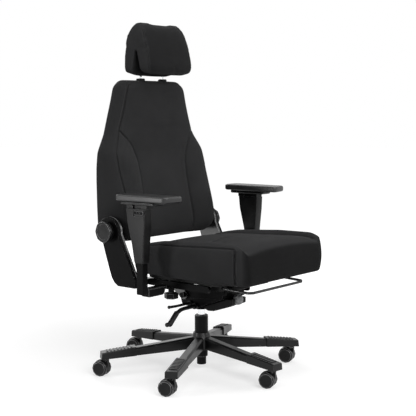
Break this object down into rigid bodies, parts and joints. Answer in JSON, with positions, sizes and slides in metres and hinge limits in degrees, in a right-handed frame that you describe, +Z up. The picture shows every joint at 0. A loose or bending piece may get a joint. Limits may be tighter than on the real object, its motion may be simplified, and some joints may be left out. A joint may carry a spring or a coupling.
{
  "type": "office chair",
  "caption": "High-back reclining office chair on a six-arm caster base with sliding seat, headrest, hand-wheel back hinge, levers and adjustable armrests.",
  "frame": {"origin": "on the floor under the gas column, which is within a few millimetres of the middle of the footprint", "axes": "+Z up, the sitter faces -Y, +X is the sitter's left"},
  "size_m": [0.7156, 0.802, 1.2872],
  "materials": {
    "nylon_black": "satin black moulded nylon",
    "steel_black": "black powder coat",
    "chrome": "polished chrome",
    "wheel_black": "black soft tread",
    "fabric_black": "black woven upholstery over foam",
    "pad_skin": "black integral-skin polyurethane",
    "grey_plastic": "light grey moulded plastic"
  },
  "bodies": {
    "base": {"base_star": "nylon_black", "step_cap_1": "nylon_black", "step_cap_2": "nylon_black", "step_cap_3": "nylon_black", "step_cap_4": "nylon_black", "step_cap_5": "nylon_black", "step_cap_6": "nylon_black", "column_outer": "nylon_black"},
    "spindle": {"piston_rod": "chrome"},
    "lift": {"gas_cylinder": "chrome", "mechanism_housing": "steel_black", "mechanism_cover": "nylon_black", "cross_shaft": "steel_black"},
    "carrier": {"carrier_frame": "steel_black", "side_cover_right": "nylon_black", "side_cover_left": "nylon_black"},
    "seat_tilt": {"seat_frame": "steel_black"},
    "seat": {"seat_pan": "nylon_black", "seat_cushion": "fabric_black"},
    "depth_bar": {"depth_bar": "steel_black"},
    "backrest": {"back_pivot_right": "steel_black", "back_pivot_left": "steel_black", "back_shell": "nylon_black", "back_cushion": "fabric_black", "post_sleeve_right": "nylon_black", "post_sleeve_left": "nylon_black"},
    "head_posts": {"headrest_rod": "chrome"},
    "headrest": {"headrest_cushion": "fabric_black"},
    "tension_knob": {"tension_knob": "grey_plastic"},
    "height_lever": {"height_lever": "nylon_black"},
    "tilt_lever": {"tilt_lever": "nylon_black"},
    "hand_wheel_right": {"hand_wheel_right": "nylon_black"},
    "hand_wheel_left": {"hand_wheel_left": "nylon_black"},
    "arm_mount_right": {"arm_bracket_right": "steel_black", "arm_post_right": "steel_black"},
    "arm_sleeve_right": {"arm_sleeve_right": "nylon_black"},
    "arm_button_right": {"arm_button_right": "nylon_black"},
    "arm_carrier_right": {"arm_carrier_right": "nylon_black"},
    "arm_pad_right": {"arm_pad_right": "pad_skin"},
    "arm_clamp_right": {"arm_clamp_right": "nylon_black"},
    "arm_mount_left": {"arm_bracket_left": "steel_black", "arm_post_left": "steel_black"},
    "arm_sleeve_left": {"arm_sleeve_left": "nylon_black"},
    "arm_button_left": {"arm_button_left": "nylon_black"},
    "arm_carrier_left": {"arm_carrier_left": "nylon_black"},
    "arm_pad_left": {"arm_pad_left": "pad_skin"},
    "arm_clamp_left": {"arm_clamp_left": "nylon_black"},
    "caster_1_housing": {"caster_1_housing": "nylon_black"},
    "caster_1_wheels": {"caster_1_wheels": "wheel_black"},
    "caster_2_housing": {"caster_2_housing": "nylon_black"},
    "caster_2_wheels": {"caster_2_wheels": "wheel_black"},
    "caster_3_housing": {"caster_3_housing": "nylon_black"},
    "caster_3_wheels": {"caster_3_wheels": "wheel_black"},
    "caster_4_housing": {"caster_4_housing": "nylon_black"},
    "caster_4_wheels": {"caster_4_wheels": "wheel_black"},
    "caster_5_housing": {"caster_5_housing": "nylon_black"},
    "caster_5_wheels": {"caster_5_wheels": "wheel_black"},
    "caster_6_housing": {"caster_6_housing": "nylon_black"},
    "caster_6_wheels": {"caster_6_wheels": "wheel_black"}
  },
  "joints": [
    {"name": "seat_swivel", "type": "hinge", "parent": "base", "child": "spindle", "pos_m": [0, 0, 0.024], "axis": [0, 0, 1], "continuous": true},
    {"name": "height", "type": "slide", "parent": "spindle", "child": "lift", "axis": [0, 0, 1], "range_m": [0, 0.1]},
    {"name": "recline", "type": "hinge", "parent": "lift", "child": "carrier", "pos_m": [0, 0.025, 0.29], "axis": [-1, 0, 0], "range_deg": [0, 20]},
    {"name": "seat_tilt", "type": "hinge", "parent": "lift", "child": "seat_tilt", "pos_m": [0, -0.16, 0.322], "axis": [-1, 0, 0], "range_deg": [0, 6]},
    {"name": "seat_depth", "type": "slide", "parent": "seat_tilt", "child": "seat", "axis": [0, -1, 0], "range_m": [0, 0.05]},
    {"name": "back_tilt", "type": "hinge", "parent": "carrier", "child": "backrest", "pos_m": [0, 0.2, 0.531], "axis": [-1, 0, 0], "range_deg": [-4, 8]},
    {"name": "headrest_height", "type": "slide", "parent": "backrest", "child": "head_posts", "axis": [0, 0, 1], "range_m": [0, 0.06]},
    {"name": "headrest_tilt", "type": "hinge", "parent": "head_posts", "child": "headrest", "pos_m": [0, 0.244, 1.114], "axis": [-1, 0, 0], "range_deg": [-9, 9]},
    {"name": "depth_bar_lift", "type": "hinge", "parent": "seat", "child": "depth_bar", "pos_m": [0, -0.219, 0.356], "axis": [-1, 0, 0], "range_deg": [0, 3], "stiffness_Nm_per_rad": 4},
    {"name": "hand_wheel_right_turn", "type": "hinge", "parent": "carrier", "child": "hand_wheel_right", "pos_m": [-0.296, 0.2, 0.531], "axis": [-1, 0, 0], "range_deg": [0, 180]},
    {"name": "hand_wheel_left_turn", "type": "hinge", "parent": "carrier", "child": "hand_wheel_left", "pos_m": [0.296, 0.2, 0.531], "axis": [1, 0, 0], "range_deg": [0, 180]},
    {"name": "arm_width_right", "type": "slide", "parent": "seat_tilt", "child": "arm_mount_right", "axis": [-1, 0, 0], "range_m": [0, 0.03]},
    {"name": "arm_height_right", "type": "slide", "parent": "arm_mount_right", "child": "arm_sleeve_right", "axis": [0, 0, 1], "range_m": [0, 0.08]},
    {"name": "arm_swivel_right", "type": "hinge", "parent": "arm_sleeve_right", "child": "arm_carrier_right", "pos_m": [-0.315, 0, 0.64], "axis": [0, 0, 1], "range_deg": [-20, 20]},
    {"name": "arm_pad_slide_right", "type": "slide", "parent": "arm_carrier_right", "child": "arm_pad_right", "axis": [0, -1, 0], "range_m": [-0.025, 0.025]},
    {"name": "arm_button_press_right", "type": "slide", "parent": "arm_sleeve_right", "child": "arm_button_right", "axis": [1, 0, 0], "range_m": [0, 0.003], "stiffness_N_per_m": 400},
    {"name": "arm_clamp_turn_right", "type": "hinge", "parent": "seat_tilt", "child": "arm_clamp_right", "pos_m": [-0.166, 0, 0.305], "axis": [0, 0, 1], "range_deg": [0, 180]},
    {"name": "arm_width_left", "type": "slide", "parent": "seat_tilt", "child": "arm_mount_left", "axis": [1, 0, 0], "range_m": [0, 0.03]},
    {"name": "arm_height_left", "type": "slide", "parent": "arm_mount_left", "child": "arm_sleeve_left", "axis": [0, 0, 1], "range_m": [0, 0.08]},
    {"name": "arm_swivel_left", "type": "hinge", "parent": "arm_sleeve_left", "child": "arm_carrier_left", "pos_m": [0.315, 0, 0.64], "axis": [0, 0, 1], "range_deg": [-20, 20]},
    {"name": "arm_pad_slide_left", "type": "slide", "parent": "arm_carrier_left", "child": "arm_pad_left", "axis": [0, -1, 0], "range_m": [-0.025, 0.025]},
    {"name": "arm_button_press_left", "type": "slide", "parent": "arm_sleeve_left", "child": "arm_button_left", "axis": [-1, 0, 0], "range_m": [0, 0.003], "stiffness_N_per_m": 400},
    {"name": "arm_clamp_turn_left", "type": "hinge", "parent": "seat_tilt", "child": "arm_clamp_left", "pos_m": [0.166, 0, 0.305], "axis": [0, 0, 1], "range_deg": [0, 180]},
    {"name": "height_lever_pull", "type": "hinge", "parent": "lift", "child": "height_lever", "pos_m": [-0.0643, -0.028, 0.254], "axis": [-1, 0, 0], "range_deg": [0, 12], "stiffness_Nm_per_rad": 1.5},
    {"name": "tilt_lever_turn", "type": "hinge", "parent": "lift", "child": "tilt_lever", "pos_m": [-0.0643, -0.004, 0.262], "axis": [1, 0, 0], "range_deg": [-15, 15], "stiffness_Nm_per_rad": 0.5},
    {"name": "tension_turn", "type": "hinge", "parent": "lift", "child": "tension_knob", "pos_m": [0, -0.162, 0.284], "axis": [0, -0.9848, 0.1736], "continuous": true},
    {"name": "caster_1_swivel", "type": "hinge", "parent": "base", "child": "caster_1_housing", "pos_m": [0.32525, 0.1496, 0.066], "axis": [0, 0, 1], "continuous": true},
    {"name": "caster_2_swivel", "type": "hinge", "parent": "base", "child": "caster_2_housing", "pos_m": [0.03307, 0.35647, 0.066], "axis": [0, 0, 1], "continuous": true},
    {"name": "caster_3_swivel", "type": "hinge", "parent": "base", "child": "caster_3_housing", "pos_m": [-0.29218, 0.20687, 0.066], "axis": [0, 0, 1], "continuous": true},
    {"name": "caster_4_swivel", "type": "hinge", "parent": "base", "child": "caster_4_housing", "pos_m": [-0.32525, -0.1496, 0.066], "axis": [0, 0, 1], "continuous": true},
    {"name": "caster_5_swivel", "type": "hinge", "parent": "base", "child": "caster_5_housing", "pos_m": [-0.03307, -0.35647, 0.066], "axis": [0, 0, 1], "continuous": true},
    {"name": "caster_6_swivel", "type": "hinge", "parent": "base", "child": "caster_6_housing", "pos_m": [0.29218, -0.20687, 0.066], "axis": [0, 0, 1], "continuous": true},
    {"name": "caster_1_roll", "type": "hinge", "parent": "caster_1_housing", "child": "caster_1_wheels", "pos_m": [0.31923, 0.16867, 0.029], "axis": [0.9537, 0.3007, 0], "continuous": true},
    {"name": "caster_2_roll", "type": "hinge", "parent": "caster_2_housing", "child": "caster_2_wheels", "pos_m": [0.02705, 0.37554, 0.029], "axis": [0.9537, 0.3007, 0], "continuous": true},
    {"name": "caster_3_roll", "type": "hinge", "parent": "caster_3_housing", "child": "caster_3_wheels", "pos_m": [-0.29819, 0.22595, 0.029], "axis": [0.9537, 0.3007, 0], "continuous": true},
    {"name": "caster_4_roll", "type": "hinge", "parent": "caster_4_housing", "child": "caster_4_wheels", "pos_m": [-0.33126, -0.13052, 0.029], "axis": [0.9537, 0.3007, 0], "continuous": true},
    {"name": "caster_5_roll", "type": "hinge", "parent": "caster_5_housing", "child": "caster_5_wheels", "pos_m": [-0.03908, -0.3374, 0.029], "axis": [0.9537, 0.3007, 0], "continuous": true},
    {"name": "caster_6_roll", "type": "hinge", "parent": "caster_6_housing", "child": "caster_6_wheels", "pos_m": [0.28616, -0.1878, 0.029], "axis": [0.9537, 0.3007, 0], "continuous": true}
  ],
  "couplings": [
    {"joint": "seat_tilt", "follows": "recline", "ratio": 0.3}
  ]
}
